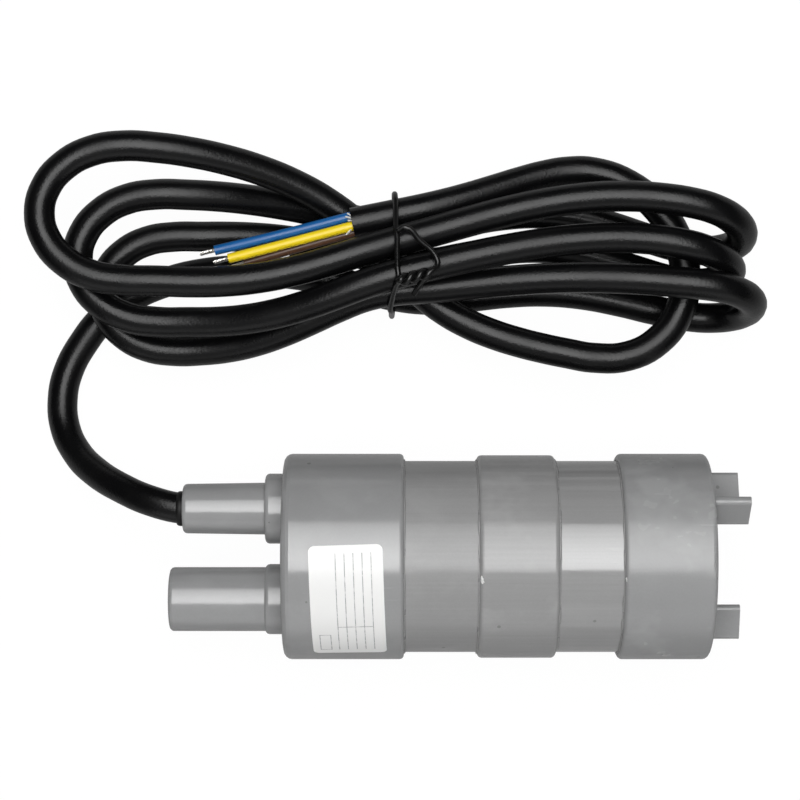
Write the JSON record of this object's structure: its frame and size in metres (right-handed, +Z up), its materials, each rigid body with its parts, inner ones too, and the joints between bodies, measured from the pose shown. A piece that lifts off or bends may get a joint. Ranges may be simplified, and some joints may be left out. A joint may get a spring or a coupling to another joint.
{
  "type": "caravan_water_pump",
  "caption": "Grey submersible water pump for a caravan, lying on its side, with hose tail, footed inlet strainer and a black flex tied up in a figure-eight hank",
  "frame": {"origin": "middle of the pump's base on the ground as it lies on its side, the free cable left out", "axes": "X along the pump's axis from the hose tail to the inlet feet, Y across towards the hank of cable, Z up"},
  "size_m": [0.1565, 0.1105, 0.0432],
  "materials": {
    "casing_grey": "semi-gloss moulded and drawn pipe plastic",
    "label_white": "satin vinyl sticker",
    "pod_black": "moulded",
    "seal_rubber": "matt",
    "potting_amber": "cast resin",
    "cable_black": "satin flex sheath",
    "can_steel": "zinc plated",
    "ferrite": "ground",
    "bell_ivory": "moulded",
    "bush_bronze": "sintered, oiled",
    "carbon": "pressed",
    "contact_brass": "stamped",
    "shaft_steel": "ground",
    "lamination": "stacked sheet",
    "winding_copper": "enamelled wire",
    "impeller_white": "moulded",
    "tie_black": "plastic-covered wire",
    "core_blue": "wire insulation",
    "core_yellow": "wire insulation",
    "core_brown": "wire insulation",
    "tinned_wire": "tinned strands"
  },
  "bodies": {
    "pump": {"outlet_cap": "casing_grey", "rear_tube": "casing_grey", "coupling_collar": "casing_grey", "front_tube": "casing_grey", "inlet_cap": "casing_grey", "rating_label": "label_white", "motor_pod": "pod_black", "pod_cover": "pod_black", "cover_gasket": "seal_rubber", "cable_grommet": "seal_rubber", "cable_potting": "potting_amber", "cable_inner": "cable_black", "shaft_seal": "seal_rubber", "motor_can": "can_steel", "motor_magnets": "ferrite", "end_bell": "bell_ivory", "front_bush": "bush_bronze", "rear_bush": "bush_bronze", "motor_screws": "shaft_steel", "brushes": "carbon", "brush_arms": "contact_brass", "terminals": "contact_brass", "lead_live": "core_brown", "lead_return": "core_blue", "lead_earth": "core_yellow", "cable_lead": "cable_black", "cable_hank": "cable_black", "hank_tie": "tie_black", "core_blue": "core_blue", "core_yellow": "core_yellow", "core_brown": "core_brown", "wire_ends": "tinned_wire"},
    "rotor": {"motor_shaft": "shaft_steel", "armature_core": "lamination", "armature_coils": "winding_copper", "commutator_hub": "pod_black", "commutator_bars": "winding_copper", "thrust_washers": "bell_ivory", "impeller": "impeller_white"}
  },
  "joints": [
    {"name": "rotor_spin", "type": "hinge", "parent": "pump", "child": "rotor", "pos_m": [0, 0, 0.0215], "axis": [1, 0, 0], "continuous": true}
  ]
}
